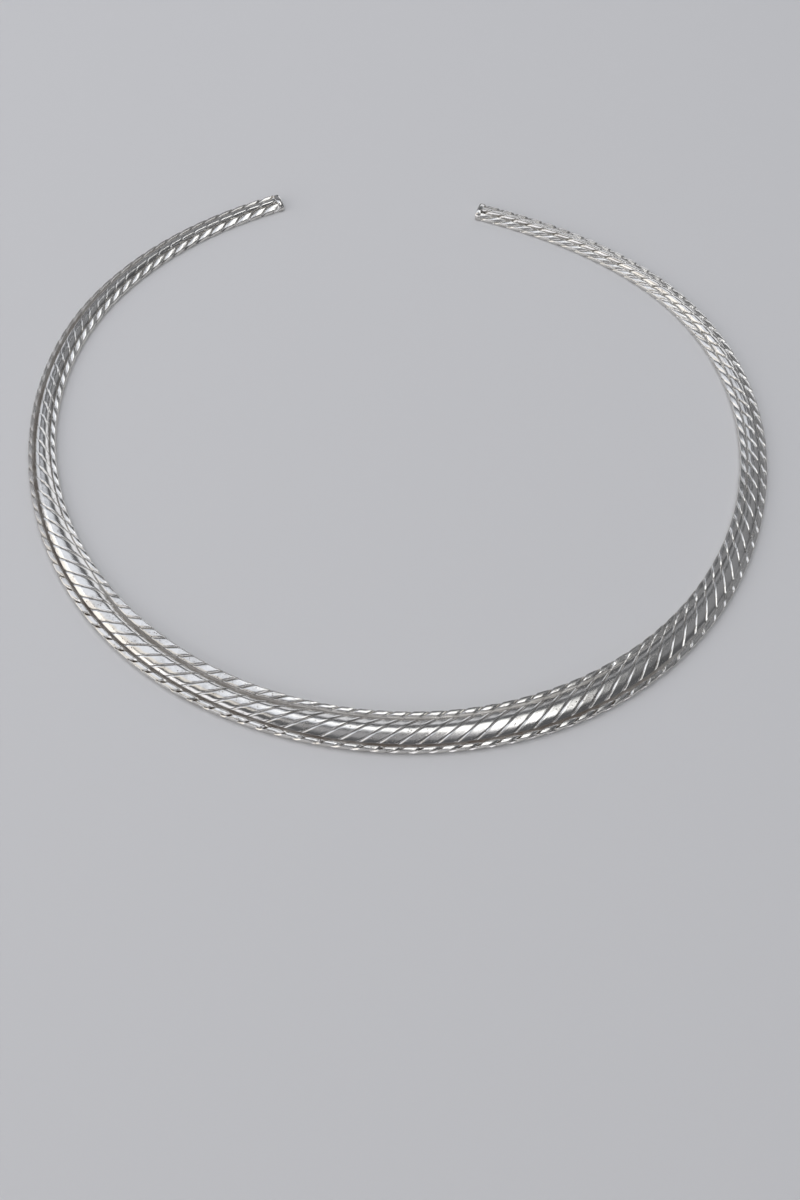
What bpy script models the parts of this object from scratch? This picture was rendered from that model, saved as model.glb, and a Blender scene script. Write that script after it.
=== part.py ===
# Silver torc: one hand-bent hoop of solid silver, open at the back, that lies flat on its underside.
# The band has a raised dome between two narrow channels and two rounded rims. Slanting grooves are
# chiselled across all of it, and each end is cut square behind a plain lip. Front is -Y, opening +Y.
import math

import bmesh
import bpy
import numpy as np

MM = 0.001

# Plan of the band's middle line, seen from above
HOOP_RADIUS = 63.5 * MM
OPENING = 41.1 * MM
OVAL_SHARE = 0.0418
OVAL_TURN = math.radians(15.9)
EGG_SHARE = 0.0169
EGG_TURN = math.radians(8.9)
SQUARE_SHARE = 0.0081
SQUARE_TURN = math.radians(7.4)
PLAN_STEPS = 4000

# Over the last stretch each end is bent outwards from that curve
END_STRETCH = math.radians(35)
LEFT_END_SPREAD = 3.9 * MM
RIGHT_END_SPREAD = 2.45 * MM

# The band is widest a little left of the middle of its length. The section keeps its front sizes
# up to FRONT_REACH of the way from there to an end, and has its side sizes from SIDE_REACH on,
# which then run evenly to the end sizes
WIDEST_PLACE = 0.463
FRONT_REACH = 0.16
SIDE_REACH = 0.56

FRONT_WIDTH = 7.3 * MM
SIDE_WIDTH = 4.9 * MM
END_WIDTH = 4.1 * MM

FRONT_HEIGHT = 1.8 * MM
SIDE_HEIGHT = 1.8 * MM
END_HEIGHT = 1.7 * MM

FRONT_RIM_WIDTH = 0.95 * MM
SIDE_RIM_WIDTH = 0.80 * MM
END_RIM_WIDTH = 0.70 * MM
FRONT_RIM_HEIGHT = 1.3 * MM
SIDE_RIM_HEIGHT = 1.2 * MM
END_RIM_HEIGHT = 1.1 * MM

FRONT_CHANNEL_WIDTH = 0.55 * MM
SIDE_CHANNEL_WIDTH = 0.35 * MM
END_CHANNEL_WIDTH = 0.30 * MM
CHANNEL_SINK = 0.20 * MM
FOOT_INSET = 0.25 * MM

# Shape of the section: the wall is widest at WALL_SHARE of the rim's height, the rim's top runs
# between two shares of its width, and the dome has a flank corner and a top corner on each side
WALL_SHARE = 0.48
RIM_TOP_START = 0.30
RIM_TOP_END = 0.78
RIM_TOP_FALL = 0.95
FLANK_ACROSS = 0.68
FLANK_RISE = 0.56
TOP_ACROSS = 0.26

# Chiselled grooves. They were set out by eye, so they drift along a little and slant more at some
# places than at others. A place is a share of the length from the left end, and a slant is the
# angle in degrees between a groove and the band's length, on the outer flank, crest and inner flank
GROOVE_PITCH = 3.083 * MM
GROOVE_START = -0.3 * MM
DRIFT_PLACES = (0.04, 0.17, 0.42, 0.55, 0.72, 1.0)
DRIFTS = (1.2 * MM, 0.0, 0.4 * MM, 0.0, 2.0 * MM, 1.4 * MM)
SLANT_PLACES = (0.0, 0.25, 0.38, 0.50, 0.60, 0.70, 0.80, 0.90, 1.0)
OUTER_SLANTS = (36, 36, 40, 37, 34, 40, 51, 68, 68)
CREST_SLANTS = (36, 36, 40, 37, 34, 32, 38, 40, 40)
INNER_SLANTS = (36, 36, 40, 37, 34, 30, 30, 34, 34)
FLANK_SHARE = 0.35
RIM_GROOVE_WIDTH = 0.80 * MM
RIM_GROOVE_DEPTH = 0.32 * MM
DOME_GROOVE_WIDTH = 0.42 * MM
DOME_GROOVE_DEPTH = 0.20 * MM
CHANNEL_GROOVE_DEPTH = 0.06 * MM
SIDE_DEPTH_SHARE = 0.7

# Plain lip at each end, a little proud of the carved band
LIP_LENGTH = 1.0 * MM
LIP_PROUD = 0.12 * MM
LIP_BEVEL = 0.15 * MM
LIP_SQUARENESS = 0.8
LIP_FIRST_TURN = 0.6

# A groove corner nearer the lip than this is drawn on the lip's edge
SNAP = 0.2 * MM


def clear_scene():
    for item in list(bpy.data.objects):
        bpy.data.objects.remove(item, do_unlink=True)


def silver_material():
    material = bpy.data.materials.new("silver")
    material.use_nodes = True
    shader = material.node_tree.nodes["Principled BSDF"]
    shader.inputs["Base Color"].default_value = (0.70, 0.69, 0.67, 1.0)
    shader.inputs["Metallic"].default_value = 1.0
    shader.inputs["Roughness"].default_value = 0.28
    return material


def plan_radius(angle):
    share = 1 - OVAL_SHARE * np.cos(2 * (angle + OVAL_TURN))
    share += EGG_SHARE * np.cos(3 * (angle + EGG_TURN))
    share -= SQUARE_SHARE * np.cos(4 * (angle + SQUARE_TURN))
    return HOOP_RADIUS * share


def spread_points(angles, reach):
    """Points of the middle line between ends at -reach and reach, with the ends spread."""
    left = np.clip((END_STRETCH - reach - angles) / END_STRETCH, 0, 1)
    right = np.clip((END_STRETCH - reach + angles) / END_STRETCH, 0, 1)
    spread = LEFT_END_SPREAD * left ** 2 + RIGHT_END_SPREAD * right ** 2
    radius = plan_radius(angles) + spread
    return np.column_stack((radius * np.sin(angles), -radius * np.cos(angles)))


def end_angle():
    """The angle from the front at which the two ends, once spread, stand OPENING apart."""
    low, high = math.pi / 2, math.pi
    for _ in range(60):
        middle = (low + high) / 2
        left, right = spread_points(np.array([-middle, middle]), middle)
        if math.dist(left, right) > OPENING:
            low = middle
        else:
            high = middle
    return (low + high) / 2


class MiddleLine:
    """The band's middle line by distance from the left end, through the front, to the right end."""

    def __init__(self):
        reach = end_angle()
        angles = np.linspace(-reach, reach, PLAN_STEPS)
        self.x, self.y = spread_points(angles, reach).T
        steps = np.hypot(np.diff(self.x), np.diff(self.y))
        self.distance = np.concatenate(([0.0], np.cumsum(steps)))
        self.length = self.distance[-1]
        self.tangent_x = np.gradient(self.x, self.distance)
        self.tangent_y = np.gradient(self.y, self.distance)

    def place(self, distance, inward, height):
        """World point at a distance along, a distance in from the middle line, and a height."""
        x = np.interp(distance, self.distance, self.x)
        y = np.interp(distance, self.distance, self.y)
        tangent_x = np.interp(distance, self.distance, self.tangent_x)
        tangent_y = np.interp(distance, self.distance, self.tangent_y)
        return x - tangent_y * inward, y + tangent_x * inward, height


def taper(front, side, end, way):
    """A size at a place, where way runs from 0 where the band is widest to 1 at an end."""
    rise = min(max((way - FRONT_REACH) / (SIDE_REACH - FRONT_REACH), 0.0), 1.0)
    narrowing = rise * rise * (3 - 2 * rise)
    run_out = max((way - SIDE_REACH) / (1 - SIDE_REACH), 0.0)
    return front + (side - front) * narrowing + (end - side) * run_out


class Section:
    """Half of the band's cross-section, from the foot of its wall to the top of the dome."""

    def __init__(self, way):
        self.width = taper(FRONT_WIDTH, SIDE_WIDTH, END_WIDTH, way)
        self.height = taper(FRONT_HEIGHT, SIDE_HEIGHT, END_HEIGHT, way)
        rim_width = taper(FRONT_RIM_WIDTH, SIDE_RIM_WIDTH, END_RIM_WIDTH, way)
        rim_height = taper(FRONT_RIM_HEIGHT, SIDE_RIM_HEIGHT, END_RIM_HEIGHT, way)
        channel_width = taper(FRONT_CHANNEL_WIDTH, SIDE_CHANNEL_WIDTH, END_CHANNEL_WIDTH, way)
        edge = self.width / 2
        channel_floor = rim_height - CHANNEL_SINK
        dome_half = edge - rim_width - channel_width
        dome_rise = self.height - channel_floor
        self.half = [
            (edge - FOOT_INSET, 0.0),
            (edge, WALL_SHARE * rim_height),
            (edge - RIM_TOP_START * rim_width, rim_height),
            (edge - RIM_TOP_END * rim_width, RIM_TOP_FALL * rim_height),
            (edge - rim_width - channel_width / 2, channel_floor),
            (FLANK_ACROSS * dome_half, channel_floor + FLANK_RISE * dome_rise),
            (TOP_ACROSS * dome_half, self.height),
        ]

    def points(self):
        """All corners, from the outer foot over the dome to the inner foot."""
        outer = [(-across, height) for across, height in self.half]
        inner = list(reversed(self.half))
        return outer + inner

    def lip_points(self):
        """A plain half-round outline with as many corners, which stands a little proud."""
        reach = self.width / 2 + LIP_PROUD
        top = self.height + LIP_PROUD
        rounds = len(self.half) - 1
        last_turn = rounds - 1 + LIP_FIRST_TURN
        half = [(reach - FOOT_INSET, 0.0)]
        for step in range(rounds):
            turn = (step + LIP_FIRST_TURN) / last_turn * math.pi / 2
            across = reach * math.cos(turn) ** LIP_SQUARENESS
            half.append((max(across, TOP_ACROSS * reach), top * math.sin(turn) ** LIP_SQUARENESS))
        outer = [(-across, height) for across, height in half]
        return outer + list(reversed(half))

    def slant_shifts(self, place):
        """How far along each corner's groove lies from where it crosses the dome's top."""
        corners = self.points()
        steps = [math.dist(first, second) for first, second in zip(corners, corners[1:])]
        length = sum(steps)
        slants = [np.interp(place, SLANT_PLACES, row) for row in (OUTER_SLANTS, CREST_SLANTS, INNER_SLANTS)]
        rates = 1 / np.tan(np.radians(slants))
        run = 0.0
        shifts = [0.0]
        for step in steps:
            share = (run + step / 2) / length
            rate = np.interp(share, (FLANK_SHARE, 0.5, 1 - FLANK_SHARE), rates)
            run += step
            shifts.append(shifts[-1] + float(rate) * step)
        crest = (shifts[len(self.half) - 1] + shifts[len(self.half)]) / 2
        return [shift - crest for shift in shifts]

    def sunk_point(self, column, depth):
        """A corner pushed into the metal by the groove's depth."""
        corners = self.points()
        across, height = corners[column]
        before = corners[max(column - 1, 0)]
        after = corners[min(column + 1, len(corners) - 1)]
        run_across, run_up = after[0] - before[0], after[1] - before[1]
        length = math.hypot(run_across, run_up)
        return across + depth * run_up / length, height - depth * run_across / length


def mirrored(half):
    return half + list(reversed(half))


# Groove width and depth at each corner of the half section, foot first
HALF_GROOVE_WIDTHS = [RIM_GROOVE_WIDTH] * 3 + [DOME_GROOVE_WIDTH] * 4
HALF_GROOVE_DEPTHS = [0.0, SIDE_DEPTH_SHARE * RIM_GROOVE_DEPTH, RIM_GROOVE_DEPTH]
HALF_GROOVE_DEPTHS += [SIDE_DEPTH_SHARE * RIM_GROOVE_DEPTH, CHANNEL_GROOVE_DEPTH]
HALF_GROOVE_DEPTHS += [DOME_GROOVE_DEPTH, DOME_GROOVE_DEPTH]


def add_face(mesh, corners):
    """A face on the corners given, leaving out repeats, or none where fewer than three are left."""
    kept = []
    for corner in corners:
        if corner not in kept:
            kept.append(corner)
    if len(kept) >= 3:
        mesh.faces.new(kept)


def join_rings(mesh, first, second):
    count = len(first)
    for column in range(count):
        following = (column + 1) % count
        add_face(mesh, (first[column], first[following], second[following], second[column]))


def add_ring(mesh, line, distance, outline):
    return [mesh.verts.new(line.place(distance, across, height)) for across, height in outline]


def groove_stations(line):
    """Each groove gives three stations: its near edge, its bottom and its far edge."""
    reach = max(abs(shift) for place in (0.0, 0.5, 1.0) for shift in Section(0.0).slant_shifts(place))
    spare = math.ceil(reach / GROOVE_PITCH) + 1
    count = math.ceil(line.length / GROOVE_PITCH)
    for groove in range(-spare, count + spare + 1):
        crossing = GROOVE_START + groove * GROOVE_PITCH
        crossing += float(np.interp(crossing / line.length, DRIFT_PLACES, DRIFTS))
        for side in (-1, 0, 1):
            yield crossing, side


def hoop_mesh():
    line = MiddleLine()
    mesh = bmesh.new()
    widths = mirrored(HALF_GROOVE_WIDTHS)
    depths = mirrored(HALF_GROOVE_DEPTHS)
    carved_from, carved_to = LIP_LENGTH, line.length - LIP_LENGTH

    def section_at(distance):
        way = np.interp(distance / line.length, (0.0, WIDEST_PLACE, 1.0), (1.0, 0.0, 1.0))
        return Section(float(way))

    start_ring = add_ring(mesh, line, carved_from, section_at(carved_from).points())
    end_ring = add_ring(mesh, line, carved_to, section_at(carved_to).points())

    previous = start_ring
    for crossing, side in groove_stations(line):
        shifts = section_at(crossing).slant_shifts(crossing / line.length)
        ring = []
        for column, shift in enumerate(shifts):
            distance = crossing + shift + side * widths[column] / 2
            if distance < carved_from + SNAP:
                ring.append(start_ring[column])
            elif distance > carved_to - SNAP:
                ring.append(end_ring[column])
            else:
                depth = depths[column] if side == 0 else 0.0
                across, height = section_at(distance).sunk_point(column, depth)
                ring.append(mesh.verts.new(line.place(distance, across, height)))
        join_rings(mesh, previous, ring)
        previous = ring

    for carved_edge, cut, ring in ((carved_from, 0.0, start_ring), (carved_to, line.length, end_ring)):
        outline = section_at(carved_edge).lip_points()
        shoulder = carved_edge + math.copysign(LIP_BEVEL, cut - carved_edge)
        shoulder_ring = add_ring(mesh, line, shoulder, outline)
        cut_ring = add_ring(mesh, line, cut, outline)
        join_rings(mesh, ring, shoulder_ring)
        join_rings(mesh, shoulder_ring, cut_ring)
        mesh.faces.new(cut_ring)

    bmesh.ops.recalc_face_normals(mesh, faces=mesh.faces)
    return mesh


def centre_on_floor(mesh):
    """Move the hoop so that the middle of its underside's box is the origin."""
    places = np.array([vertex.co[:] for vertex in mesh.verts])
    middle = (places.min(axis=0) + places.max(axis=0)) / 2
    bmesh.ops.translate(mesh, verts=mesh.verts, vec=(-middle[0], -middle[1], 0.0))


def add_torc_hoop():
    mesh = hoop_mesh()
    centre_on_floor(mesh)
    data = bpy.data.meshes.new("torc_hoop")
    mesh.to_mesh(data)
    mesh.free()
    data.shade_smooth()
    data.set_sharp_from_angle(angle=math.radians(30))
    data.materials.append(silver_material())
    hoop = bpy.data.objects.new("torc_hoop", data)
    bpy.context.scene.collection.objects.link(hoop)


clear_scene()
add_torc_hoop()
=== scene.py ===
# Silver torc: the finished hoop, with its chiselled grooves, notched rims and worn, tarnished silver,
# lying on a plain studio floor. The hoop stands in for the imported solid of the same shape.
import math

import bmesh
import bpy
import numpy as np
from bpy.props import FloatProperty, FloatVectorProperty, IntProperty, PointerProperty
from mathutils import Matrix, Vector


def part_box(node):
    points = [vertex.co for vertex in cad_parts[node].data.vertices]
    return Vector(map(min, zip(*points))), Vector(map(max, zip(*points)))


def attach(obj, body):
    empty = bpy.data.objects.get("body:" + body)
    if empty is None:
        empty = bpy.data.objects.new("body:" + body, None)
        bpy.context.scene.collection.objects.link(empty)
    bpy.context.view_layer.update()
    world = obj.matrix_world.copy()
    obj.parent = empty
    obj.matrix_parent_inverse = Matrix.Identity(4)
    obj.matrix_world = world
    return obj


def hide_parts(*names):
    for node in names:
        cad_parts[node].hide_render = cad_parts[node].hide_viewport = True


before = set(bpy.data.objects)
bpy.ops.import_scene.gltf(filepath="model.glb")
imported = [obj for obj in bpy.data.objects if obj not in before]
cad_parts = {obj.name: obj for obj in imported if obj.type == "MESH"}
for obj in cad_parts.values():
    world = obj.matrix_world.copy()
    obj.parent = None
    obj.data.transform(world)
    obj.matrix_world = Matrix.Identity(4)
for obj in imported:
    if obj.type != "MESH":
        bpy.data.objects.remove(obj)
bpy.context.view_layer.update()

MM = 0.001

# What each point of the plain band tells the chisel, and what it tells the silver
CARVING = ("rim", "dome", "side", "taper", "blunt", "pillow", "turn", "cut", "number")
# The silver reads how far each point is darkened, as soil and painted shade, and where it lies for the
# scratches
WEAR_AND_SHADE = ("darkened", "along", "across")

# Sizes that the chisel's tree takes
CHISEL_SIZES = ("Groove Depth", "Burr", "Pillow", "Notch Depth", "Uneven", "Wobble")

# Where the burr beside a groove is highest, and how far it reaches, in lengths of the groove's wall
BURR_PLACE = 1.25
BURR_REACH = 0.25

# Points nearer than this are one point
SAME_POINT = 0.5e-6
# Edges between faces that meet at more than this many degrees are sharp
SHARP_ANGLE = 38

FLOOR_REACH = 4.0
FLOOR_ROUGHNESS = 0.9
FRAME_WIDTH = 36.0
NEAREST_SEEN = 0.01

# Each soft box: place, what it faces, turn in degrees, width, depth, brightness, colour, and whether the
# silver mirrors it
MIDDLE = (0.0, 0.0, 0.0)
SOFT_BOXES = (
    ("key_box", (0.13, 0.07, 0.70), (0.13, 0.07, 0.0), 23, 0.19, 0.68, 1.70, "#FCFDFF", True),
    ("left_sky", (-0.64, 0.32, 0.70), (-0.64, 0.32, 0.0), 0, 1.28, 0.46, 0.95, "#EEF3FF", True),
    ("warm_left", (-0.72, -0.05, 0.70), (-0.72, -0.05, 0.0), 0, 1.0, 0.28, 0.85, "#FFF9F2", True),
    ("left_window", (-1.0, 0.75, 0.36), MIDDLE, 0, 0.80, 0.72, 0.75, "#EEF3FF", True),
    ("low_left", (-1.05, -0.05, 0.33), MIDDLE, 0, 0.90, 0.55, 1.25, "#FFFAF5", True),
    ("front_left", (-0.75, -0.75, 0.40), MIDDLE, 0, 0.80, 0.60, 1.15, "#F8F8FF", True),
    ("low_front", (0.05, -1.0, 0.45), MIDDLE, 0, 0.80, 0.40, 0.80, "#F8F8FF", True),
    ("front_sky", (0.0, -0.24, 0.73), (0.0, -0.24, 0.0), 0, 0.5, 0.36, 0.26, "#F8F8FF", True),
    ("back_right", (0.40, 0.95, 0.40), MIDDLE, 0, 0.75, 0.50, 0.95, "#F6F8FF", True),
    ("back_sky", (-0.25, 1.0, 0.62), MIDDLE, 0, 0.50, 0.45, 0.20, "#F6F8FF", True),
    ("right_sky", (0.75, 0.45, 0.70), MIDDLE, 0, 1.0, 0.9, 0.16, "#F6F8FF", True),
    ("right_card", (0.80, -0.50, 0.42), MIDDLE, 0, 0.25, 0.25, 0.55, "#F6F8FF", True),
    ("floor_wash", (0.0, 0.0, 1.6), MIDDLE, 0, 2.0, 2.0, 0.62, "#FFFFFF", False),
)

bl_info = {
    "name": "Silver Torc",
    "version": (1, 0, 0),
    "blender": (4, 5, 0),
    "location": "View3D > Sidebar > Torc",
    "description": "Makes a grooved silver torc and a plain studio to show it in",
    "category": "Add Mesh",
}


def linear(hex_colour):
    """An sRGB hex colour as linear red, green and blue."""
    shares = [int(hex_colour[place:place + 2], 16) / 255 for place in (1, 3, 5)]
    return [share / 12.92 if share <= 0.04045 else ((share + 0.055) / 1.055) ** 2.4 for share in shares]


def add_node(tree, kind, settings=None, links=None):
    """Add a node, set its properties, and fill its inputs with sockets or values."""
    node = tree.nodes.new(kind)
    for name, value in (settings or {}).items():
        setattr(node, name, value)
    for key, value in (links or {}).items():
        if isinstance(value, bpy.types.NodeSocket):
            tree.links.new(value, node.inputs[key])
        else:
            node.inputs[key].default_value = value
    return node


def size_property(name, millimetres, description):
    return FloatProperty(name=name, description=description, default=millimetres * MM, unit="LENGTH")


def share_property(name, share, description):
    return FloatProperty(name=name, description=description, default=share, min=0.0, subtype="FACTOR")


def turn_property(name, degrees, description):
    return FloatProperty(name=name, description=description, default=math.radians(degrees), unit="ROTATION")


def row_property(name, values, description, **settings):
    return FloatVectorProperty(
        name=name, description=description, default=values, size=len(values), **settings)


def sizes_property(name, millimetres, description):
    return row_property(name, tuple(value * MM for value in millimetres), description, unit="LENGTH")


def colour_property(name, hex_colour, description):
    return row_property(name, linear(hex_colour), description, min=0.0, max=1.0, subtype="COLOR")


class TorcPlan(bpy.types.PropertyGroup):
    """The hoop's middle line, seen from above."""

    radius: size_property("Hoop radius", 63.5, "Mean radius of the band's middle line")
    opening: size_property("Opening", 41.1, "Distance between the two ends")
    oval: share_property("Oval", 0.0418, "How oval the hoop is, as a share of its radius")
    oval_turn: turn_property("Oval turn", 15.9, "How far the oval is turned")
    egg: share_property("Egg", 0.0169, "How egg-shaped the hoop is, as a share of its radius")
    egg_turn: turn_property("Egg turn", 8.9, "How far the egg shape is turned")
    square: share_property("Square", 0.0081, "How squared the hoop is, as a share of its radius")
    square_turn: turn_property("Square turn", 7.4, "How far the squared shape is turned")
    stretch: turn_property("End stretch", 35.0, "Over how much of the hoop an end is bent outwards")
    left_spread: size_property("Left spread", 3.9, "How far the left end is bent outwards")
    right_spread: size_property("Right spread", 2.45, "How far the right end is bent outwards")


class TorcBand(bpy.types.PropertyGroup):
    """The band's section where it is widest, at the sides and at the ends."""

    widest: share_property("Widest place", 0.463, "Where the band is widest, as a share of its length")
    front_reach: share_property("Front reach", 0.16, "How far the widest section goes on towards an end")
    side_reach: share_property("Side reach", 0.56, "How far towards an end the side section begins")
    widths: sizes_property("Widths", (7.28, 4.88, 4.08), "Band width at the front, sides and ends")
    heights: sizes_property("Heights", (1.77, 1.77, 1.67), "Band thickness at the front, sides and ends")
    rim_heights: sizes_property(
        "Rim heights", (1.3, 1.2, 1.1), "Height of a rim at the front, sides and ends")
    channel_widths: sizes_property(
        "Channel widths", (0.55, 0.35, 0.30), "Channel width at the front, sides and ends")
    places: row_property(
        "Places", (0.0, 0.03, 0.25, 0.315, 0.345, 0.425, 0.455, 0.59, 0.66, 0.80, 1.0),
        "Shares of the band's length at which the rows down to the outer soils are given")
    outer_rims: sizes_property(
        "Outer rims", (0.8, 0.8, 0.9, 1.1, 1.1, 1.1, 0.85, 1.0, 0.8, 0.8, 0.8), "Outer rim's width")
    inner_rims: sizes_property(
        "Inner rims", (1.3, 1.3, 0.95, 1.0, 1.7, 1.85, 1.05, 1.05, 1.0, 1.1, 1.2), "Inner rim's width")
    outer_tilts: row_property(
        "Outer tilts", (-24, -6, 4, 12, 10, 0, -2, 4, 6, 6, 6),
        "Slope in degrees of the outer rim's top, down to the outside")
    inner_tilts: row_property(
        "Inner tilts", (23, 22, 15, 4, -4, -4, -2, 0, 12, 16, 20),
        "Slope in degrees of the inner rim's top, down to the inside")
    outer_sinks: row_property(
        "Outer sinks", (0.5, 0.5, 0.9, 1, 1, 1, 1, 1, 0.12, 0.05, 0.5),
        "How much of the outer channel's depth there is")
    inner_sinks: row_property(
        "Inner sinks", (1, 1, 0.8, 0.6, 1, 1, 0.8, 0.7, 0.1, 0.3, 1),
        "How much of the inner channel's depth there is")
    inner_channels: row_property(
        "Inner channels", (0.4, 0.3, 0.25, 0.25, 0.9, 1, 1, 1, 1, 1, 1),
        "How much of the channel width there is on the inner side")
    fullness: row_property(
        "Fullness", (3.2, 3.2, 2.2, 2.1, 3.0, 3.0, 2, 2, 2, 2.2, 2.4),
        "How flat-topped the dome is, 2 is a parabola")
    outer_lobes: row_property(
        "Outer lobes", (0.8, 0.4, 0.3, 1.2, 1.5, 1.5, 1.3, 1.2, 0.15, 0.2, 0.7),
        "How far the outer rim is notched into lobes")
    inner_lobes: row_property(
        "Inner lobes", (0.8, 0.9, 0.8, 0.5, 0.2, 0.2, 0.8, 1, 0.2, 0.2, 0.7),
        "How far the inner rim is notched into lobes")
    outer_tapers: row_property(
        "Outer tapers", (0.3, 0.3, 0.3, 0.25, 0.24, 0.24, 0.2, 0.45, 0.4, 0.4, 0.4),
        "Share of a lobe's length over which its thin end runs out")
    inner_tapers: row_property(
        "Inner tapers", (0.12, 0.12, 0.12, 0.2, 0.2, 0.2, 0.2, 0.16, 0.38, 0.38, 0.3),
        "Share of a lobe's length over which its thin end runs out")
    outer_blunts: row_property(
        "Outer blunt ends", (0.14, 0.14, 0.14, 0.14, 0.14, 0.14, 0.14, 0.14, 0.14, 0.14, 0.14),
        "Share of a lobe's length over which its blunt end rises")
    inner_blunts: row_property(
        "Inner blunt ends", (0.5, 0.5, 0.5, 0.4, 0.14, 0.14, 0.14, 0.14, 0.14, 0.14, 0.14),
        "Share of a lobe's length over which its blunt end rises")
    pillows: row_property(
        "Pillows", (0.1, 0, 0, 0, 0, 0, 0, 0, 0.1, 0.4, 1.2),
        "How far the panels between the grooves bulge")
    cuts: row_property(
        "Cuts", (0.9, 0.35, 0.6, 1, 1, 1, 1, 1, 1, 1, 1),
        "How much of the groove depth there is on the dome")
    # This row darkens the outer rim brown
    outer_darkenings: row_property(
        "Outer soils", (0, 0.3, 0.35, 0.1, 0, 0, 0, 0, 0, 0, 0.1),
        "How much soil lies on the outer rim")
    channel_sink: size_property("Channel sink", 0.22, "How far a channel's floor lies below the rim")
    line_sink: size_property("Line sink", 0.10, "Depth of the thin line at the foot of the dome")
    foot_inset: size_property("Foot inset", 0.25, "How far the wall is undercut at its foot")
    lip_length: size_property("Lip length", 1.0, "Length of the plain lip at each end")
    lip_proud: size_property("Lip proud", 0.10, "How far the lip stands out round the band")
    lip_bevel: size_property("Lip bevel", 0.15, "Rounding of the lip's edges")


class TorcGrooves(bpy.types.PropertyGroup):
    """The chiselled grooves and the notches that they leave in the rims."""

    pitch: size_property("Pitch", 3.083, "Distance from groove to groove along the band")
    start: size_property("Start", -0.3, "Where the first groove crosses the middle of the dome")
    drift_places: row_property(
        "Drift places", (0.04, 0.17, 0.42, 0.55, 0.72, 1.0),
        "Shares of the band's length at which the drifts are given")
    drifts: sizes_property(
        "Drifts", (1.2, 0.0, 0.4, 0.0, 2.0, 1.4), "How far the grooves have drifted along the band there")
    slant_places: row_property(
        "Slant places", (0.0, 0.25, 0.38, 0.50, 0.60, 0.70, 0.80, 0.90, 1.0),
        "Shares of the band's length at which the slants and sweeps are given")
    outer_slants: row_property(
        "Outer slants", (36, 36, 40, 37, 34, 40, 51, 68, 68),
        "Angle in degrees between groove and band on the outer flank")
    crest_slants: row_property(
        "Crest slants", (36, 36, 40, 37, 34, 32, 38, 40, 40),
        "Angle in degrees between groove and band on the crest")
    inner_slants: row_property(
        "Inner slants", (36, 36, 40, 37, 34, 30, 30, 34, 34),
        "Angle in degrees between groove and band on the inner flank")
    sweeps: row_property(
        "Sweeps", (36, 24, 18, 18, 18, 20, 25, 45, 60),
        "Angle in degrees between groove and band in the outer channel")
    flank: share_property("Flank", 0.35, "Share of the section that is outer or inner flank")
    broad_wall: size_property("Broad wall", 0.44, "Length along the band of a groove's gentle wall")
    steep_wall: size_property("Steep wall", 0.18, "Length along the band of a groove's steep wall")
    depth: size_property("Groove depth", 0.12, "Depth of a groove on the dome")
    burr: size_property("Burr", 0.010, "Height of the metal raised beside a groove")
    pillow: size_property("Pillow", 0.09, "How far the middle of a bulging panel stands above its edges")
    notch: size_property("Rim notch depth", 0.32, "Depth of the notches in the rims")
    uneven: share_property("Uneven notches", 0.25, "How much the grooves and notches differ in depth")
    wobble: size_property("Wobble", 0.014, "Height of the hand-worked unevenness of the surface")
    seed: IntProperty(name="Seed", description="Seed of the uneven notches", default=7)


class TorcFinish(bpy.types.PropertyGroup):
    """Colours of the silver."""

    silver: colour_property("Silver", "#E9E7E2", "Clean, worn silver")
    # The tarnish colour also paints grey shade in the groove bottoms and channels
    tarnish_and_shade: colour_property("Tarnish", "#8F8A84", "Grey tarnish where the metal isn't rubbed")
    # The soil colour also paints brown shade in the groove bottoms and channels
    soil_and_shade: colour_property("Soil", "#54473B", "Brown soil left in the hollows")
    roughness: share_property("Roughness", 0.13, "Roughness of the clean silver")


class TorcStudio(bpy.types.PropertyGroup):
    """Floor, surroundings and camera."""

    floor: colour_property("Floor", "#D7D7D8", "Colour of the floor")
    surround: colour_property("Surround colour", "#EEF1FA", "Colour of the surroundings")
    world: share_property("Surround", 0.11, "Brightness of the surroundings")
    camera_place: sizes_property(
        "Camera place", (-8.79, -163.62, 200.43), "Camera place from the middle of the plan")
    camera_target: sizes_property(
        "Camera target", (-0.96, -36.31, 0.0), "What the camera looks at, from the middle of the plan")
    camera_roll: turn_property("Camera roll", -0.963, "How far the camera is rolled")
    camera_rise: FloatProperty(name="Camera shift", description="Upward shift of the frame", default=0.00145)
    lens: FloatProperty(
        name="Lens", description="Focal length for a 36 mm frame", default=41.67, unit="CAMERA")


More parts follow.
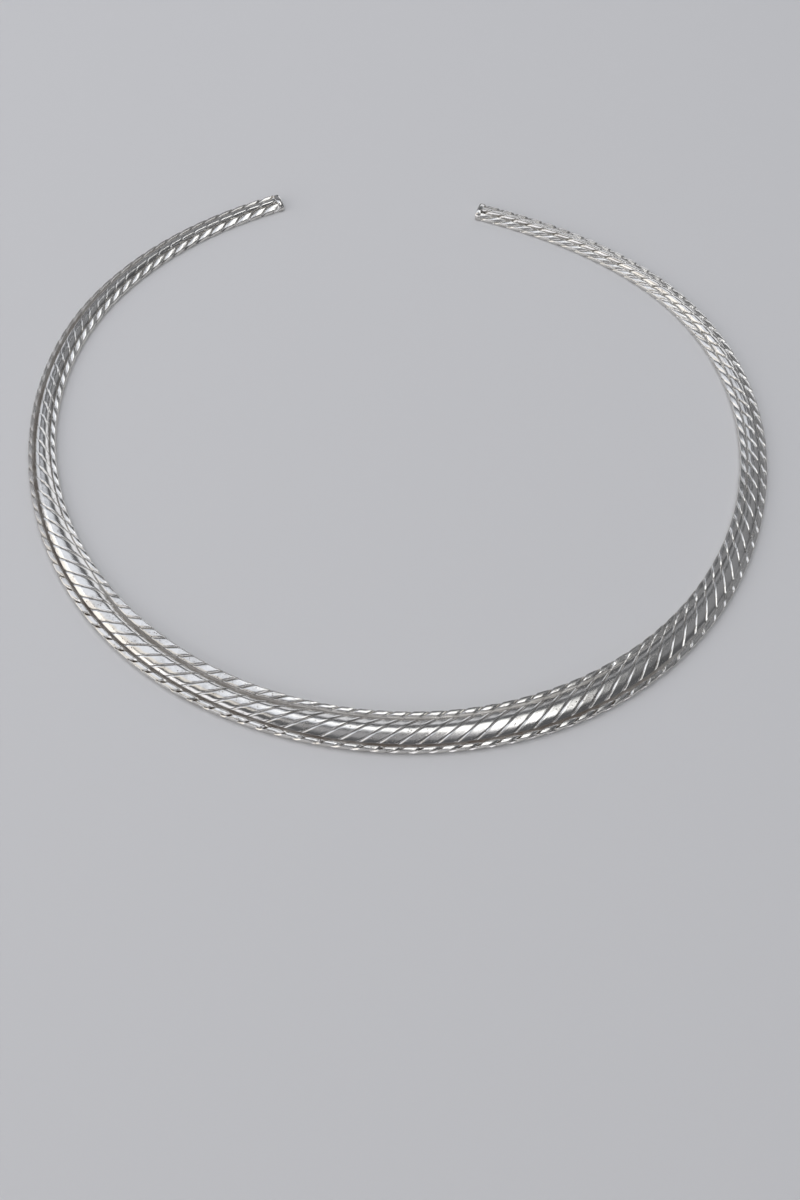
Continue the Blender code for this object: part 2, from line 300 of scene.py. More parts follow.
class MiddleLine:
    """The band's middle line by distance from the left end, through the front, to the right end."""

    STEPS = 4000
    HALVINGS = 60

    def __init__(self, plan):
        self.plan = plan
        reach = self.end_angle()
        self.x, self.y = self.spread_points(np.linspace(-reach, reach, self.STEPS), reach).T
        steps = np.hypot(np.diff(self.x), np.diff(self.y))
        self.distance = np.concatenate(([0.0], np.cumsum(steps)))
        self.length = self.distance[-1]
        self.tangent_x = np.gradient(self.x, self.distance)
        self.tangent_y = np.gradient(self.y, self.distance)

    def spread_points(self, angles, reach):
        """Points of the line at angles from the front, when its ends are at the angle reach."""
        plan = self.plan
        share = 1 - plan.oval * np.cos(2 * (angles + plan.oval_turn))
        share += plan.egg * np.cos(3 * (angles + plan.egg_turn))
        share -= plan.square * np.cos(4 * (angles + plan.square_turn))
        left = np.clip((plan.stretch - reach - angles) / plan.stretch, 0, 1)
        right = np.clip((plan.stretch - reach + angles) / plan.stretch, 0, 1)
        radius = plan.radius * share + plan.left_spread * left ** 2 + plan.right_spread * right ** 2
        return np.column_stack((radius * np.sin(angles), -radius * np.cos(angles)))

    def end_angle(self):
        """The angle from the front at which the two ends, once spread, stand the opening apart."""
        low, high = math.pi / 2, math.pi
        for _ in range(self.HALVINGS):
            middle = (low + high) / 2
            left, right = self.spread_points(np.array([-middle, middle]), middle)
            if math.dist(left, right) > self.plan.opening:
                low = middle
            else:
                high = middle
        return (low + high) / 2

    def place(self, distance, inward, height):
        """Points at distances along, distances in from the middle line, and heights."""
        x = np.interp(distance, self.distance, self.x)
        y = np.interp(distance, self.distance, self.y)
        tangent_x = np.interp(distance, self.distance, self.tangent_x)
        tangent_y = np.interp(distance, self.distance, self.tangent_y)
        return np.stack((x - tangent_y * inward, y + tangent_x * inward, height), axis=-1)


class Profile:
    """The smooth section before carving: columns from the outer foot over the dome and back below."""

    WALL_SHARE = 0.36
    OUTER_SQUARENESS = 4.5
    INNER_SQUARENESS = 6.0
    LIP_ROUNDING = 0.75
    LIP_FOOT = 0.3
    WALL_STEPS = 3
    RIM_STEPS = 8
    CHANNEL_STEPS = 4
    DOME_STEPS = 12
    UNDER_STEPS = 4

    # How much of a notch or groove reaches the foot and top of the wall, the rim's inner edge and the channel
    WALL_FOOT_CUT = 0.4
    WALL_TOP_CUT = 0.8
    RIM_EDGE_CUT = 0.3
    CHANNEL_CUT = 0.3
    # Where less than this share of a channel's depth is left, the dome's grooves begin to run on over it
    FADING_SINK = 0.6
    # How dark a channel of full depth is painted: brown soil together with painted shade in the recess
    INNER_SOIL_AND_SHADE = 0.55
    OUTER_SOIL_AND_SHADE = 0.85

    def __init__(self, band, line):
        self.band = band
        self.line = line
        self.rim_end = self.WALL_STEPS + self.RIM_STEPS
        self.dome_foot = self.rim_end + self.CHANNEL_STEPS
        self.half_count = self.dome_foot + self.DOME_STEPS + 1
        self.top_count = 2 * self.half_count - 1
        self.count = self.top_count + self.UNDER_STEPS
        self.under_shares = np.arange(1, self.UNDER_STEPS + 1) / (self.UNDER_STEPS + 1)

    def way(self, distance):
        """The way from the widest place, 0, to an end, 1."""
        return np.interp(distance / self.line.length, (0.0, self.band.widest, 1.0), (1.0, 0.0, 1.0))

    def taper(self, sizes, way):
        """A size that goes from its front to its side and end values."""
        band = self.band
        rise = np.clip((way - band.front_reach) / (band.side_reach - band.front_reach), 0.0, 1.0)
        narrowing = rise * rise * (3 - 2 * rise)
        run_out = np.clip((way - band.side_reach) / (1 - band.side_reach), 0.0, None)
        return sizes[0] + (sizes[1] - sizes[0]) * narrowing + (sizes[2] - sizes[1]) * run_out

    def at_place(self, distance, row):
        """A row's value between the places."""
        return np.interp(distance / self.line.length, self.band.places, row)

    def half(self, distance, rims, tilts, sinks, channels, squareness):
        """Across and height of each column of a half section, foot first, at each distance."""
        band = self.band
        way = self.way(distance)
        edge = self.taper(band.widths, way) / 2
        height = self.taper(band.heights, way)
        rim_height = self.taper(band.rim_heights, way)
        channel_width = self.taper(band.channel_widths, way) * self.at_place(distance, channels)
        rim_width = self.at_place(distance, rims)
        slope = np.tan(np.radians(self.at_place(distance, tilts)))
        sink = self.at_place(distance, sinks)
        fullness = self.at_place(distance, band.fullness)
        floor = rim_height - band.channel_sink * sink
        dome_half = edge - rim_width - channel_width
        waist = self.WALL_SHARE * rim_height

        columns = []
        for step in range(self.WALL_STEPS):
            lift = step / self.WALL_STEPS
            height_here = (waist - slope * rim_width / 2) * lift
            columns.append((edge - band.foot_inset * (1 - lift) ** 2, height_here))
        crown = rim_height - waist
        round_off = 2 / squareness
        last = np.pi - np.arcsin(np.clip((floor - waist) / crown, 0.0, 1.0) ** (1 / round_off))
        for step in range(self.RIM_STEPS + 1):
            turn = last * step / self.RIM_STEPS
            cosine = np.cos(turn)
            reach = np.sign(cosine) * np.abs(cosine) ** round_off
            across = edge - rim_width / 2 + rim_width / 2 * reach
            lean = slope * (edge - rim_width / 2 - across)
            columns.append((across, waist + crown * np.sin(turn) ** round_off + lean))
        inner_edge = columns[-1][0]
        lean = slope * (edge - rim_width / 2 - inner_edge)
        for step in range(1, self.CHANNEL_STEPS):
            share = step / self.CHANNEL_STEPS
            dip = band.line_sink * sink if step == self.CHANNEL_STEPS - 1 else 0.0
            columns.append((inner_edge + (dome_half - inner_edge) * share, floor - dip + lean * (1 - share)))
        for step in range(self.DOME_STEPS + 1):
            share = 1 - step / self.DOME_STEPS
            columns.append((dome_half * share, floor + (height - floor) * (1 - share ** fullness)))
        across, heights = zip(*columns)
        return np.stack(across, axis=-1), np.stack(heights, axis=-1)

    def whole(self, distance):
        """Across and height of every column, the last ones being those of the underside."""
        band = self.band
        full_width = np.ones(len(band.places))
        outer, outer_height = self.half(
            distance, band.outer_rims, band.outer_tilts, band.outer_sinks, full_width, self.OUTER_SQUARENESS)
        inner, inner_height = self.half(
            distance, band.inner_rims, band.inner_tilts, band.inner_sinks, band.inner_channels,
            self.INNER_SQUARENESS)
        under = outer[..., :1] * (1 - 2 * self.under_shares)
        across = np.concatenate((-outer, inner[..., -2::-1], under), axis=-1)
        height = np.concatenate((outer_height, inner_height[..., -2::-1], 0 * under), axis=-1)
        return across, height

    def lip(self, distance):
        """A plain half-round section with as many columns, a little proud of the band."""
        band = self.band
        way = self.way(distance)
        reach = self.taper(band.widths, way) / 2 + band.lip_proud
        top = self.taper(band.heights, way) + band.lip_proud
        turns = np.linspace(0.0, math.pi / 2, self.half_count)
        across = reach * np.cos(turns) ** self.LIP_ROUNDING
        height = top * np.sin(turns) ** self.LIP_ROUNDING
        foot = np.clip(1 - height / (top * self.LIP_FOOT), 0, 1)
        across = across - band.foot_inset * foot ** 2
        under = across[0] * (1 - 2 * self.under_shares)
        whole_across = np.concatenate((-across, across[-2::-1], under))
        return whole_across, np.concatenate((height, height[-2::-1], 0 * under))

    def masks(self, distance):
        """What each column is at each distance: how far it is cut as rim and as dome, its side, the run of
        its lobes' two ends, how far its panels bulge, and how far it is darkened, the channels with soil and
        painted shade and the outer rim brown. Where a channel or the lobes fade out, the dome's grooves run
        on over the rim."""
        rim = np.zeros(self.half_count)
        rim[1:self.rim_end + 1] = 1.0
        rim[1] = self.WALL_FOOT_CUT
        rim[self.WALL_STEPS - 1] = self.WALL_TOP_CUT
        rim[self.rim_end] = self.RIM_EDGE_CUT
        channel = np.zeros(self.half_count)
        channel[self.rim_end:self.dome_foot] = 1.0
        dome = np.zeros(self.half_count)
        dome[self.dome_foot:] = 1.0
        dome[self.rim_end + 1:self.dome_foot] = self.CHANNEL_CUT
        top = np.ones(self.half_count)
        top[0] = 0.0
        top[1] = self.WALL_FOOT_CUT
        under = np.zeros(self.UNDER_STEPS)
        side = np.concatenate((-np.ones(self.half_count), np.ones(self.half_count - 1), under))
        rows = [np.concatenate((mask, mask[-2::-1], under)) for mask in (rim, dome, channel, top)]

        def by_side(outer_row, inner_row):
            return np.where(side > 0, self.at_place(distance, inner_row), self.at_place(distance, outer_row))

        band = self.band
        sinks = by_side(band.outer_sinks, band.inner_sinks)
        lobes = by_side(band.outer_lobes, band.inner_lobes)
        rim, dome, channel, top = (row + 0 * sinks for row in rows)
        faded = np.clip(1 - sinks / self.FADING_SINK, 0, 1)
        run_on = np.maximum(rim * np.clip(1 - lobes, 0, 1), (top - dome) * faded)
        # Channels are darkened by their depth: brown soil and painted shade in the recess
        in_channel = channel * np.clip(sinks, 0, 1) * np.where(side > 0, self.INNER_SOIL_AND_SHADE, self.OUTER_SOIL_AND_SHADE)
        # The outer rim is darkened brown where the row asks
        on_rim = rim * by_side(band.outer_darkenings, np.zeros(len(band.places)))
        return {
            "rim": rim * lobes,
            "dome": np.maximum(dome, run_on) * self.at_place(distance, band.cuts),
            "side": side + 0 * sinks,
            "taper": by_side(band.outer_tapers, band.inner_tapers),
            "blunt": by_side(band.outer_blunts, band.inner_blunts),
            "pillow": top * self.at_place(distance, band.pillows),
            "darkened": np.maximum(in_channel, on_rim),
        }


class Stations:
    """Where every ring of the band crosses every column, sheared so that the rings follow the grooves."""

    BROAD_STEPS = (0.0, 1 / 3, 2 / 3, 1.0, BURR_PLACE)
    STEEP_STEPS = (0.5, 1.0, BURR_PLACE)
    PANEL_STEPS = (1 / 5, 2 / 5, 3 / 5, 4 / 5)
    SPARE_GROOVES = 5

    def __init__(self, grooves, band, line, profile):
        self.grooves = grooves
        self.line = line
        self.profile = profile
        count = math.ceil(line.length / grooves.pitch)
        numbers = np.arange(-self.SPARE_GROOVES, count + self.SPARE_GROOVES + 2)
        plain = grooves.start + numbers * grooves.pitch
        crossings = plain + np.interp(plain / line.length, grooves.drift_places, grooves.drifts)
        after = [step * grooves.broad_wall for step in self.BROAD_STEPS]
        before = [step * grooves.steep_wall for step in reversed(self.STEEP_STEPS)]
        rows = []
        for number, first, following in zip(numbers, crossings, crossings[1:]):
            gap = following - first
            start, stop = after[-1], gap - before[0]
            offsets = after + [start + (stop - start) * share for share in self.PANEL_STEPS]
            offsets += [gap - step for step in before]
            rows += [(number, first, offset, gap) for offset in offsets]
        self.number, groove, self.offset, self.gap = np.array(rows).T
        crest = groove + self.offset
        distance = crest[:, None] + self.shifts(crest)
        carved_from, carved_to = band.lip_length, line.length - band.lip_length
        self.clamped = (distance < carved_from) | (distance > carved_to)
        self.distance = np.clip(distance, carved_from, carved_to)

    def shifts(self, crest):
        """How far along each column's groove lies from where it crosses the middle of the dome."""
        grooves = self.grooves
        profile = self.profile
        across, height = (sizes[:, :profile.top_count] for sizes in profile.whole(crest))
        steps = np.hypot(np.diff(across, axis=1), np.diff(height, axis=1))
        start = np.zeros((len(crest), 1))
        run = np.concatenate((start, np.cumsum(steps, axis=1)), axis=1)
        middle_share = (run[:, 1:] + run[:, :-1]) / 2 / run[:, -1:]
        place = crest / self.line.length
        slants = [np.interp(place, grooves.slant_places, row)
                  for row in (grooves.outer_slants, grooves.crest_slants, grooves.inner_slants)]
        outer, crown, inner = (1 / np.tan(np.radians(slant)) for slant in slants)
        toward_outer = np.clip((0.5 - middle_share) / (0.5 - grooves.flank), 0, 1)
        toward_inner = np.clip((middle_share - 0.5) / (0.5 - grooves.flank), 0, 1)
        rate = crown[:, None] + (outer - crown)[:, None] * toward_outer
        rate += (inner - crown)[:, None] * toward_inner
        swept = 1 / np.tan(np.radians(np.interp(place, grooves.slant_places, grooves.sweeps)))
        rate[:, profile.rim_end:profile.dome_foot] = swept[:, None]
        shift = np.concatenate((start, np.cumsum(rate * steps, axis=1)), axis=1)
        shift -= shift[:, profile.half_count - 1][:, None]
        under = shift[:, -1:] + (shift[:, :1] - shift[:, -1:]) * profile.under_shares
        return np.concatenate((shift, under), axis=1)


def lip_rings(profile, inner_edge, cut_place):
    """The rings of a plain end lip, from its inner edge to the cut, drawn in where its edges are rounded."""
    bevel = profile.band.lip_bevel
    outward = math.copysign(bevel, cut_place - inner_edge)
    places = np.array([
        inner_edge, inner_edge + outward, cut_place - outward, cut_place - 0.3 * outward, cut_place])
    drawn_in = np.array([0.4, 0.0, 0.0, 0.3, 1.0])
    across, height = profile.lip(np.array(inner_edge))
    less = (1 - drawn_in * bevel / height.max())[:, None]
    along = np.outer(places, np.ones(profile.count))
    return {
        "point": profile.line.place(along, across * less, height * less),
        "along": along,
        "across": np.outer(np.ones(len(places)), across),
    }


def plain_band(plan, band, grooves):
    """The uncarved band, ring by ring: its points, and what each tells the chisel and the silver."""
    line = MiddleLine(plan)
    profile = Profile(band, line)
    stations = Stations(grooves, band, line, profile)
    columns = np.arange(profile.count)
    across, height = (sizes[:, columns, columns] for sizes in profile.whole(stations.distance))
    masks = profile.masks(stations.distance)
    for name in ("rim", "dome", "pillow"):
        masks[name] = masks[name] * ~stations.clamped
    to_next = stations.gap - stations.offset
    from_groove = np.minimum(stations.offset / grooves.broad_wall, to_next / grooves.steep_wall)
    whole_ring = np.ones(profile.count)
    carved = {
        **masks,
        "point": line.place(stations.distance, across, height),
        "turn": np.outer(stations.offset / stations.gap, whole_ring),
        "cut": np.outer(from_groove, whole_ring),
        "number": np.outer(stations.number, whole_ring),
        "along": stations.distance,
        "across": across,
    }
    left = lip_rings(profile, band.lip_length, 0.0)
    right = lip_rings(profile, line.length - band.lip_length, line.length)
    plain = np.zeros_like(left["across"])
    return {
        key: np.concatenate((left.get(key, plain)[::-1], values, right.get(key, plain)))
        for key, values in carved.items()
    }


def band_mesh(rings):
    """The rings joined into a closed mesh, with the doubled points of the run-out grooves merged."""
    count, columns = rings["turn"].shape
    index = np.arange(count * columns).reshape(count, columns)
    following = np.roll(index, -1, axis=1)
    quads = np.stack((index[:-1], following[:-1], following[1:], index[1:]), axis=-1).reshape(-1, 4)
    faces = quads.tolist() + [index[0].tolist(), index[-1][::-1].tolist()]
    mesh = bpy.data.meshes.new("torc_plain_band")
    mesh.from_pydata(rings["point"].reshape(-1, 3).tolist(), [], faces)
    for key in (*CARVING, *WEAR_AND_SHADE):
        attribute = mesh.attributes.new(key, "FLOAT", "POINT")
        attribute.data.foreach_set("value", rings[key].astype(np.float32).ravel())
    work = bmesh.new()
    work.from_mesh(mesh)
    bmesh.ops.remove_doubles(work, verts=work.verts, dist=SAME_POINT)
    bmesh.ops.recalc_face_normals(work, faces=work.faces)
    work.to_mesh(mesh)
    work.free()
    return mesh


def chisel_tree():
    """Geometry nodes that cut the grooves and notches, and set the silver."""
    lobe_power = 1.2
    first_identity = 40.0
    ripple_size = 4 * MM
    tree = bpy.data.node_groups.new("Chisel the band", "GeometryNodeTree")
    face = tree.interface
    face.new_socket("Geometry", in_out="INPUT", socket_type="NodeSocketGeometry")
    for name in CHISEL_SIZES:
        face.new_socket(name, in_out="INPUT", socket_type="NodeSocketFloat")
    face.new_socket("Seed", in_out="INPUT", socket_type="NodeSocketInt")
    face.new_socket("Silver", in_out="INPUT", socket_type="NodeSocketMaterial")
    face.new_socket("Geometry", in_out="OUTPUT", socket_type="NodeSocketGeometry")
    given = add_node(tree, "NodeGroupInput").outputs

    held = {name: given[name] for name in CHISEL_SIZES}
    for name in CARVING:
        node = add_node(tree, "GeometryNodeInputNamedAttribute", {"data_type": "FLOAT"}, {"Name": name})
        held[name] = node.outputs["Attribute"]
    chance = add_node(tree, "FunctionNodeRandomValue", {"data_type": "FLOAT"}, {"Seed": given["Seed"]})
    held["chance"] = chance.outputs["Value"]
    position = add_node(tree, "GeometryNodeInputPosition").outputs[0]
    held["ripple"] = add_node(tree, "ShaderNodeTexNoise", {"noise_dimensions": "3D"}, {
        "Vector": position, "Scale": 1 / ripple_size, "Detail": 1.0}).outputs[0]

    # Each step: the name of what it gives, the operation, and its numbers or the names of earlier steps
    steps = (
        # A groove is a lopsided V as deep as asked, with a low burr outside each edge
        ("within", "SUBTRACT", 1.0, "cut"),
        ("vee", "MAXIMUM", "within", 0.0),
        ("past", "SUBTRACT", "cut", BURR_PLACE),
        ("from_burr", "ABSOLUTE", "past"),
        ("burr_fall", "DIVIDE", "from_burr", BURR_REACH),
        ("burr_top", "SUBTRACT", 1.0, "burr_fall"),
        ("burr", "MAXIMUM", "burr_top", 0.0),
        # A lobe begins bluntly, is flat on top and runs out slowly; inner lobes the other way round
        ("inner", "GREATER_THAN", "side", 0.0),
        ("mirrored", "SUBTRACT", 1.0, "turn"),
        ("change", "SUBTRACT", "mirrored", "turn"),
        ("swing", "MULTIPLY", "inner", "change"),
        ("way", "ADD", "turn", "swing"),
        ("blunt_way", "DIVIDE", "way", "blunt"),
        ("blunt_end", "SUBTRACT", 1.0, "blunt_way"),
        ("way_left", "SUBTRACT", 1.0, "way"),
        ("thin_way", "DIVIDE", "way_left", "taper"),
        ("thin_end", "SUBTRACT", 1.0, "thin_way"),
        ("ends", "MAXIMUM", "blunt_end", "thin_end"),
        ("ramps", "MAXIMUM", "ends", 0.0),
        ("gap", "POWER", "ramps", lobe_power),
        # Each groove and its notches are a little deeper or shallower than the rest
        ("identity", "ADD", "number", first_identity),
        ("draw", "SUBTRACT", "chance", 0.5),
        ("spread", "MULTIPLY", "draw", "Uneven"),
        ("depth_share", "ADD", 1.0, "spread"),
        ("groove_full", "MULTIPLY", "dome", "Groove Depth"),
        ("groove_even", "MULTIPLY", "groove_full", "vee"),
        ("groove_cut", "MULTIPLY", "groove_even", "depth_share"),
        ("burr_full", "MULTIPLY", "dome", "Burr"),
        ("burr_rise", "MULTIPLY", "burr_full", "burr"),
        ("notch", "MULTIPLY", "Notch Depth", "depth_share"),
        ("notch_full", "MULTIPLY", "rim", "notch"),
        ("notch_cut", "MULTIPLY", "notch_full", "gap"),
        # A bulging panel is lower toward the grooves on both its sides
        ("twice", "MULTIPLY", "turn", 2.0),
        ("from_middle", "SUBTRACT", "twice", 1.0),
        ("squared", "MULTIPLY", "from_middle", "from_middle"),
        ("bulge_full", "MULTIPLY", "squared", "Pillow"),
        ("bulge", "MULTIPLY", "bulge_full", "pillow"),
        # The hammer and wear leave the top a little uneven
        ("top", "MAXIMUM", "rim", "dome"),
        ("swell", "SUBTRACT", "ripple", 0.5),
        ("swell_full", "MULTIPLY", "swell", "Wobble"),
        ("hammered", "MULTIPLY", "swell_full", "top"),
        ("added", "ADD", "burr_rise", "hammered"),
        ("raised", "SUBTRACT", "added", "bulge"),
        ("taken", "ADD", "groove_cut", "notch_cut"),
        ("push", "SUBTRACT", "raised", "taken"),
        # How deep in a groove or notch a point lies, for the silver
        ("in_groove", "MULTIPLY", "dome", "vee"),
        ("in_notch", "MULTIPLY", "rim", "gap"),
        ("carved", "MAXIMUM", "in_groove", "in_notch"),
    )
    for name, operation, *inputs in steps:
        values = {place: held.get(value, value) for place, value in enumerate(inputs)}
        held[name] = add_node(tree, "ShaderNodeMath", {"operation": operation}, values).outputs[0]
    tree.links.new(held["identity"], chance.inputs["ID"])

    normal = add_node(tree, "GeometryNodeInputNormal").outputs[0]
    offset = add_node(
        tree, "ShaderNodeVectorMath", {"operation": "SCALE"}, {0: normal, "Scale": held["push"]})
    stored = add_node(
        tree, "GeometryNodeStoreNamedAttribute", {"data_type": "FLOAT", "domain": "POINT"},
        {"Geometry": given["Geometry"], "Name": "carved", "Value": held["carved"]})
    moved = add_node(
        tree, "GeometryNodeSetPosition", None,
        {"Geometry": stored.outputs[0], "Offset": offset.outputs[0]})
    real = add_node(tree, "GeometryNodeRealizeInstances", None, {"Geometry": moved.outputs[0]})
    silvered = add_node(
        tree, "GeometryNodeSetMaterial", None, {"Geometry": real.outputs[0], "Material": given["Silver"]})
    add_node(tree, "NodeGroupOutput", None, {"Geometry": silvered.outputs[0]})
    return tree


def silver_material(finish):
    """Cast and chased silver, rubbed bright on its high places, with grey tarnish in patches and soil in the
    hollows, where grey and brown painted shade is laid on as well. That gives sharp bright highlights on the
    dome and dark lines in the grooves, the dark lines partly painted shade."""
    scratch_length = 6.25 * MM
    scratch_width = 0.125 * MM
    cloud_size = 3.125 * MM
    pit_spacing = 0.5 * MM
    relief_height = 0.03 * MM
    material = bpy.data.materials.new("worn_silver")
    material.use_nodes = True
    tree = material.node_tree
    shader = tree.nodes["Principled BSDF"]

    held = {}
    for name in ("carved", *WEAR_AND_SHADE):
        held[name] = add_node(tree, "ShaderNodeAttribute", {"attribute_name": name}).outputs["Fac"]
    place = add_node(tree, "ShaderNodeTexCoord").outputs["Object"]

    # Fine scratches run along the band
    band_place = add_node(tree, "ShaderNodeCombineXYZ", None, {0: held["along"], 1: held["across"]})
    stretched = add_node(tree, "ShaderNodeVectorMath", {"operation": "MULTIPLY"}, {
        0: band_place.outputs[0], 1: (1 / scratch_length, 1 / scratch_width, 0.0)})
    held["scratch"] = add_node(tree, "ShaderNodeTexNoise", {"noise_dimensions": "2D"}, {
        "Vector": stretched.outputs[0], "Scale": 1.0, "Detail": 3.0, "Roughness": 0.6}).outputs[0]
    # Tarnish lies in cloudy patches
    held["cloud"] = add_node(tree, "ShaderNodeTexNoise", {"noise_dimensions": "3D"}, {
        "Vector": place, "Scale": 1 / cloud_size, "Detail": 4.0, "Roughness": 0.65}).outputs[0]
    # Casting pits are about 0.2 mm across
    held["spots"] = add_node(tree, "ShaderNodeTexVoronoi", {"feature": "F1"}, {
        "Vector": place, "Scale": 1 / pit_spacing, "Randomness": 1.0}).outputs["Distance"]

    # Each slope: the name of what it gives, its kind, what it reads, from and to there, and from and to here
    slopes = (
        ("pits", "LINEAR", "spots", 0.12, 0.24, 1.0, 0.0),
        # Groove and notch bottoms are darkened: painted occlusion shade, with some dirt
        ("bottom_shade_and_dirt", "SMOOTHSTEP", "carved", 0.7, 1.0, 0.0, 1.0),
        ("dull", "SMOOTHSTEP", "cloud", 0.45, 0.75, 0.0, 0.35),
        ("patchy", "LINEAR", "cloud", 0.35, 0.6, 0.5, 1.0),
    )
    for name, kind, source, start, stop, low, high in slopes:
        values = {"Value": held[source], "From Min": start, "From Max": stop, "To Min": low, "To Max": high}
        held[name] = add_node(
            tree, "ShaderNodeMapRange", {"interpolation_type": kind}, values).outputs[0]

    # Each step: the name of what it gives, the operation, and its numbers or the names of earlier steps
    steps = (
        # Pits keep to patches, and hollows hold soil and painted shade; the outer rim is darkened too
        ("pit_patch", "GREATER_THAN", "cloud", 0.53),
        ("pit", "MULTIPLY", "pits", "pit_patch"),
        ("sunk", "MAXIMUM", "bottom_shade_and_dirt", "darkened"),
        # Grey tarnish, then brown soil over it; in the hollows both also paint shade
        ("sunk_grey", "MULTIPLY", "sunk", 0.8),
        ("grey", "MAXIMUM", "dull", "sunk_grey"),
        ("sunk_soil_and_shade", "MULTIPLY", "sunk", "patchy"),
        ("pit_soil", "MULTIPLY", "pit", 0.8),
        ("soil_and_shade", "MAXIMUM", "sunk_soil_and_shade", "pit_soil"),
        # Scratches, soil and painted shade are rougher, and soil and painted shade are less of a metal
        ("scratch_rough", "MULTIPLY", "scratch", 0.12),
        ("scratched", "ADD", finish.roughness, "scratch_rough"),
        ("soil_and_shade_rough", "MULTIPLY", "soil_and_shade", 0.3),
        ("rough", "ADD", "scratched", "soil_and_shade_rough"),
        ("metal_loss", "MULTIPLY", "soil_and_shade", 0.7),
        ("metal", "SUBTRACT", 1.0, "metal_loss"),
        # Scratches and pits in relief
        ("scratch_relief", "MULTIPLY", "scratch", 0.6),
        ("relief", "SUBTRACT", "scratch_relief", "pit"),
    )
    for name, operation, *inputs in steps:
        values = {place: held.get(value, value) for place, value in enumerate(inputs)}
        held[name] = add_node(tree, "ShaderNodeMath", {"operation": operation}, values).outputs[0]

    # The colour goes toward tarnish grey, then soil brown: real tarnish and soil, and painted shade in the
    # hollows
    colour = add_node(tree, "ShaderNodeMix", {"data_type": "RGBA"}, {
        0: held["grey"], 6: [*finish.silver, 1.0], 7: [*finish.tarnish_and_shade, 1.0]}).outputs[2]
    colour = add_node(tree, "ShaderNodeMix", {"data_type": "RGBA"}, {
        0: held["soil_and_shade"], 6: colour, 7: [*finish.soil_and_shade, 1.0]}).outputs[2]
    bump = add_node(tree, "ShaderNodeBump", None, {
        "Height": held["relief"], "Strength": 0.28, "Distance": relief_height}).outputs[0]
    surface = {"Base Color": colour, "Roughness": held["rough"], "Metallic": held["metal"], "Normal": bump}
    for name, source in surface.items():
        tree.links.new(source, shader.inputs[name])
    return material


def plan_shift(rings):
    """From the middle of the plan to the row frame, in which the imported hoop's box is centred."""
    low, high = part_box("torc_hoop")
    points = rings["point"].reshape(-1, 3)
    middle = (points.min(axis=0) + points.max(axis=0)) / 2
    return Vector(((low.x + high.x) / 2 - middle[0], (low.y + high.y) / 2 - middle[1], 0.0))


class TORC_OT_make_hoop(bpy.types.Operator):
    """Make the grooved silver hoop"""

    bl_idname = "torc.make_hoop"
    bl_label = "Make Hoop"

    def execute(self, context):
        scene = context.scene
        grooves = scene.torc_grooves
        rings = plain_band(scene.torc_plan, scene.torc_band, grooves)
        mesh = band_mesh(rings)
        mesh.transform(Matrix.Translation(plan_shift(rings)))
        blank = bpy.data.objects.new("torc_blank", mesh)
        scene.collection.objects.link(blank)

        tree = chisel_tree()
        values = {
            "Groove Depth": grooves.depth,
            "Burr": grooves.burr,
            "Pillow": grooves.pillow,
            "Notch Depth": grooves.notch,
            "Uneven": grooves.uneven,
            "Wobble": grooves.wobble,
            "Seed": grooves.seed,
            "Silver": silver_material(scene.torc_finish),
        }
        modifier = blank.modifiers.new("Chisel", "NODES")
        modifier.node_group = tree
        for item in tree.interface.items_tree:
            if item.in_out == "INPUT" and item.name in values:
                modifier[item.identifier] = values[item.name]
        context.view_layer.update()
        carved = bpy.data.meshes.new_from_object(blank.evaluated_get(context.evaluated_depsgraph_get()))
        carved.name = "grooved_hoop"
        bpy.data.objects.remove(blank, do_unlink=True)
        for name in CARVING:
            carved.attributes.remove(carved.attributes[name])
        carved.shade_smooth()
        carved.set_sharp_from_angle(angle=math.radians(SHARP_ANGLE))
        hoop = bpy.data.objects.new("grooved_hoop", carved)
        scene.collection.objects.link(hoop)
        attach(hoop, "root")
        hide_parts("torc_hoop")
        return {"FINISHED"}


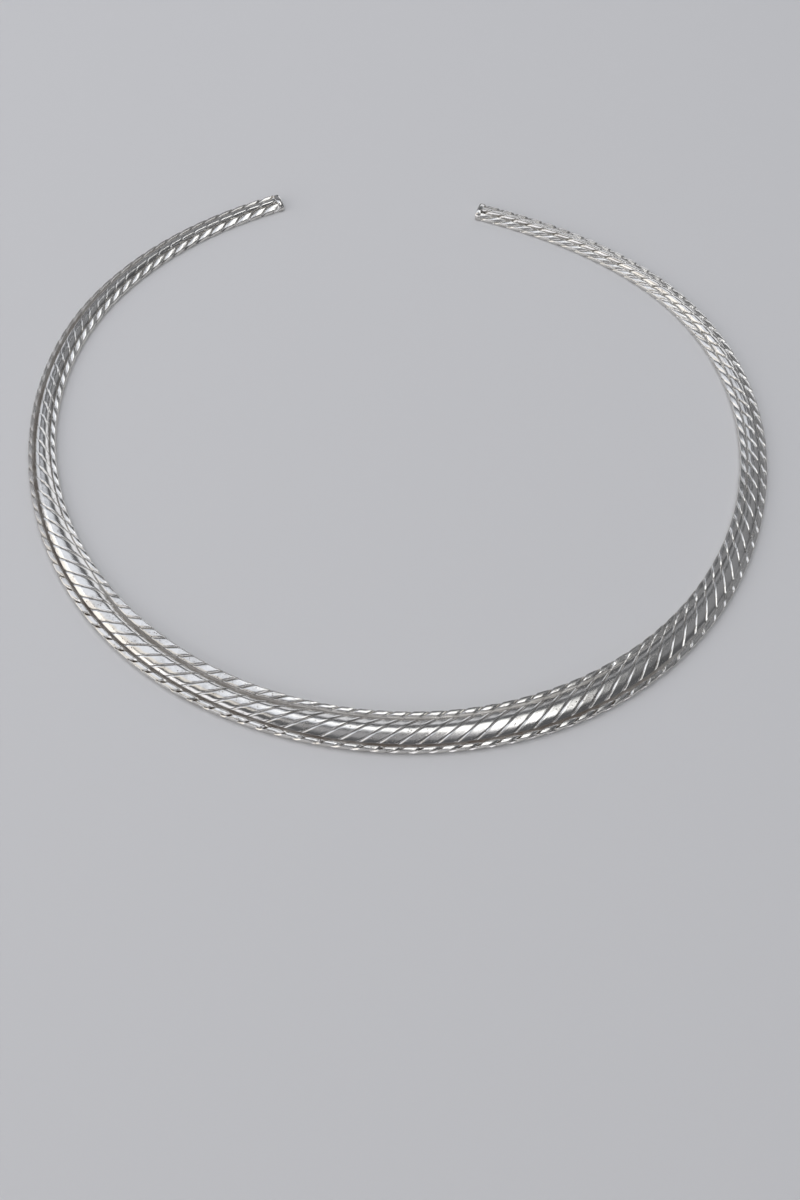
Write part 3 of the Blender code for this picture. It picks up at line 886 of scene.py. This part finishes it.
class TORC_OT_make_stage(bpy.types.Operator):
    """Make the floor, the lights and the camera"""

    bl_idname = "torc.make_stage"
    bl_label = "Make Stage"

    def execute(self, context):
        scene = context.scene
        studio = scene.torc_studio
        self.floor(scene, studio)
        self.surround(scene, studio)
        for box in SOFT_BOXES:
            self.soft_box(scene, *box)
        self.camera(scene, studio)
        scene.view_settings.view_transform = "Standard"
        return {"FINISHED"}

    def floor(self, scene, studio):
        """A large flat sheet with a plain matt finish."""
        mesh = bpy.data.meshes.new("floor")
        corners = [(x * FLOOR_REACH, y * FLOOR_REACH, 0.0) for x, y in ((-1, -1), (1, -1), (1, 1), (-1, 1))]
        mesh.from_pydata(corners, [], [(0, 1, 2, 3)])
        material = bpy.data.materials.new("matt_floor")
        material.use_nodes = True
        shader = material.node_tree.nodes["Principled BSDF"]
        shader.inputs["Base Color"].default_value = [*studio.floor, 1.0]
        shader.inputs["Roughness"].default_value = FLOOR_ROUGHNESS
        mesh.materials.append(material)
        floor = bpy.data.objects.new("floor", mesh)
        scene.collection.objects.link(floor)

    def surround(self, scene, studio):
        """Faint even light from all round."""
        world = bpy.data.worlds.new("studio")
        world.use_nodes = True
        shade = world.node_tree.nodes["Background"]
        shade.inputs["Color"].default_value = [*studio.surround, 1.0]
        shade.inputs["Strength"].default_value = studio.world
        scene.world = world

    def soft_box(self, scene, name, place, target, turn, width, depth, brightness, colour, mirrored):
        """An area light whose brightness is the same whatever its size."""
        light = bpy.data.lights.new(name, "AREA")
        light.shape = "RECTANGLE"
        light.size = width
        light.size_y = depth
        light.energy = brightness * math.pi * width * depth
        light.color = linear(colour)
        box = bpy.data.objects.new(name, light)
        box.location = place
        away = Vector(place) - Vector(target)
        facing = away.to_track_quat("Z", "Y").to_matrix() @ Matrix.Rotation(math.radians(turn), 3, "Z")
        box.rotation_euler = facing.to_euler()
        box.visible_glossy = mirrored
        scene.collection.objects.link(box)

    def camera(self, scene, studio):
        """The camera at the photograph's angle, placed from the middle of the plan."""
        middle = plan_shift(plain_band(scene.torc_plan, scene.torc_band, scene.torc_grooves))
        place = Vector(studio.camera_place) + middle
        target = Vector(studio.camera_target) + middle
        back = (place - target).normalized()
        right = Vector((0.0, 0.0, 1.0)).cross(back).normalized()
        rise = back.cross(right)
        turn = studio.camera_roll
        level = right * math.cos(turn) - rise * math.sin(turn)
        upright = right * math.sin(turn) + rise * math.cos(turn)
        camera = bpy.data.cameras.new("camera")
        camera.lens = studio.lens
        camera.sensor_width = FRAME_WIDTH
        camera.shift_y = studio.camera_rise
        camera.clip_start = NEAREST_SEEN
        holder = bpy.data.objects.new("camera", camera)
        holder.matrix_world = Matrix.Translation(place) @ Matrix((level, upright, back)).transposed().to_4x4()
        scene.collection.objects.link(holder)
        scene.camera = holder


class TORC_PT_panel(bpy.types.Panel):
    """Lists the makers of the torc and their sizes"""

    bl_idname = "TORC_PT_panel"
    bl_label = "Silver Torc"
    bl_space_type = "VIEW_3D"
    bl_region_type = "UI"
    bl_category = "Torc"

    def draw(self, context):
        layout = self.layout
        for operator, groups in (
            ("torc.make_hoop", ("torc_plan", "torc_band", "torc_grooves", "torc_finish")),
            ("torc.make_stage", ("torc_studio",)),
        ):
            layout.operator(operator)
            for group in groups:
                holder = getattr(context.scene, group)
                for name in holder.__annotations__:
                    layout.prop(holder, name)


GROUPS = {
    "torc_plan": TorcPlan,
    "torc_band": TorcBand,
    "torc_grooves": TorcGrooves,
    "torc_finish": TorcFinish,
    "torc_studio": TorcStudio,
}
CLASSES = (*GROUPS.values(), TORC_OT_make_hoop, TORC_OT_make_stage, TORC_PT_panel)


def register():
    for each in CLASSES:
        bpy.utils.register_class(each)
    for name, group in GROUPS.items():
        setattr(bpy.types.Scene, name, PointerProperty(type=group))


def unregister():
    for name in GROUPS:
        delattr(bpy.types.Scene, name)
    for each in reversed(CLASSES):
        bpy.utils.unregister_class(each)


def main():
    register()
    bpy.ops.torc.make_hoop()
    bpy.ops.torc.make_stage()


if __name__ == "__main__":
    main()
